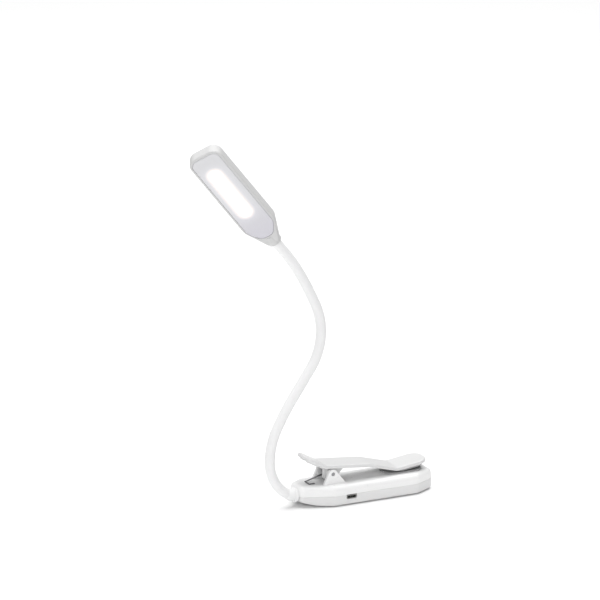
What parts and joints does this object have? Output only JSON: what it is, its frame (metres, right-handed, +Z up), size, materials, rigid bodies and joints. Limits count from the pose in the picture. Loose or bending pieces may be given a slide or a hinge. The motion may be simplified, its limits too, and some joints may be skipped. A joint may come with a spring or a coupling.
{
  "type": "clip-on reading lamp",
  "caption": "Rechargeable clip-on reading lamp: long low base with a spring clip on top, bendable gooseneck and a slim flat LED head with a frosted lens.",
  "frame": {"origin": "centre of the base's underside, on the surface it stands on", "axes": "+X from the neck's exit along the base to the jaw end, +Y to the power button's side, +Z up, the lamp's longest extent"},
  "size_m": [0.196, 0.0347, 0.291],
  "materials": {
    "white_shell": "satin moulded ABS",
    "white_shell_lower": "satin moulded ABS",
    "white_silicone": "matt silicone",
    "grey_rubber": "matt rubber",
    "steel": "turned",
    "spring_steel": "drawn wire",
    "core_steel": "wound wire",
    "socket_steel": "plated",
    "board_green": "solder mask",
    "black_parts": "moulded",
    "battery_foil": "foil pouch",
    "foam": "foam tape",
    "wire_red": "insulation",
    "frosted_lens": "frosted diffuser",
    "led_board_white": "white mask",
    "led_yellow": "phosphor",
    "tray_white": "white reflector"
  },
  "bodies": {
    "base": {"base_lower_shell": "white_shell_lower", "base_upper_shell": "white_shell", "anti_slip_foot": "grey_rubber", "case_screws": "steel", "control_board": "board_green", "board_parts": "black_parts", "usb_socket": "socket_steel", "usb_tongue": "black_parts", "tact_switch": "black_parts", "battery_cell": "battery_foil", "battery_foam": "foam", "battery_leads": "wire_red", "jaw_pad_base": "grey_rubber", "clip_pin": "steel", "clip_spring": "spring_steel", "neck_boot": "white_silicone", "neck_anchor": "steel", "neck_sleeve_0": "white_silicone", "neck_core_0": "core_steel"},
    "clip_lever": {"clip_lever": "white_shell", "jaw_pad_lever": "grey_rubber"},
    "power_button": {"power_button": "white_shell"},
    "neck_1": {"neck_sleeve_1": "white_silicone", "neck_core_1": "core_steel"},
    "neck_2": {"neck_sleeve_2": "white_silicone", "neck_core_2": "core_steel"},
    "neck_3": {"neck_sleeve_3": "white_silicone", "neck_core_3": "core_steel"},
    "neck_4": {"neck_sleeve_4": "white_silicone", "neck_core_4": "core_steel"},
    "neck_5": {"neck_sleeve_5": "white_silicone", "neck_core_5": "core_steel"},
    "neck_6": {"neck_sleeve_6": "white_silicone", "neck_core_6": "core_steel"},
    "neck_7": {"neck_sleeve_7": "white_silicone", "neck_core_7": "core_steel"},
    "neck_8": {"neck_sleeve_8": "white_silicone", "neck_core_8": "core_steel"},
    "neck_9": {"neck_sleeve_9": "white_silicone", "neck_core_9": "core_steel", "neck_ferrule": "steel"},
    "head": {"head_housing": "white_shell", "diffuser_lens": "frosted_lens", "led_board": "led_board_white", "led_chips": "led_yellow", "reflector_tray": "tray_white", "head_wires": "wire_red"}
  },
  "joints": [
    {"name": "clip_hinge", "type": "hinge", "parent": "base", "child": "clip_lever", "pos_m": [-0.0289, 0, 0.0238], "axis": [0, -1, 0], "range_deg": [0, 25], "stiffness_Nm_per_rad": 0.25, "springref_deg": -57.3, "deforming": ["clip_spring"]},
    {"name": "power_press", "type": "slide", "parent": "base", "child": "power_button", "axis": [0, -1, 0], "range_m": [0, 0.0005], "stiffness_N_per_m": 150, "springref_m": -0.0003},
    {"name": "neck_bend_1", "type": "hinge", "parent": "base", "child": "neck_1", "pos_m": [-0.06684, 0, 0.01406], "axis": [0, 1, 0], "range_deg": [-22, 22]},
    {"name": "neck_bend_2", "type": "hinge", "parent": "neck_1", "child": "neck_2", "pos_m": [-0.07652, 0, 0.03707], "axis": [-1, 0, 0.0052], "range_deg": [-22, 22]},
    {"name": "neck_bend_3", "type": "hinge", "parent": "neck_2", "child": "neck_3", "pos_m": [-0.0706, 0, 0.0618], "axis": [0, 1, 0], "range_deg": [-22, 22]},
    {"name": "neck_bend_4", "type": "hinge", "parent": "neck_3", "child": "neck_4", "pos_m": [-0.05748, 0, 0.08381], "axis": [-0.8192, 0, 0.5736], "range_deg": [-22, 22]},
    {"name": "neck_bend_5", "type": "hinge", "parent": "neck_4", "child": "neck_5", "pos_m": [-0.04277, 0, 0.10482], "axis": [0, 1, 0], "range_deg": [-22, 22]},
    {"name": "neck_bend_6", "type": "hinge", "parent": "neck_5", "child": "neck_6", "pos_m": [-0.03405, 0, 0.12864], "axis": [-0.9959, 0, 0.0906], "range_deg": [-22, 22]},
    {"name": "neck_bend_7", "type": "hinge", "parent": "neck_6", "child": "neck_7", "pos_m": [-0.03809, 0, 0.1537], "axis": [0, 1, 0], "range_deg": [-22, 22]},
    {"name": "neck_bend_8", "type": "hinge", "parent": "neck_7", "child": "neck_8", "pos_m": [-0.04941, 0, 0.17671], "axis": [-0.8755, 0, -0.4833], "range_deg": [-22, 22]},
    {"name": "neck_bend_9", "type": "hinge", "parent": "neck_8", "child": "neck_9", "pos_m": [-0.06362, 0, 0.19802], "axis": [0, 1, 0], "range_deg": [-22, 22]},
    {"name": "head_twist", "type": "hinge", "parent": "neck_9", "child": "head", "pos_m": [-0.07178, 0, 0.20827], "axis": [-0.6225, 0, 0.7826], "range_deg": [-60, 60]}
  ]
}
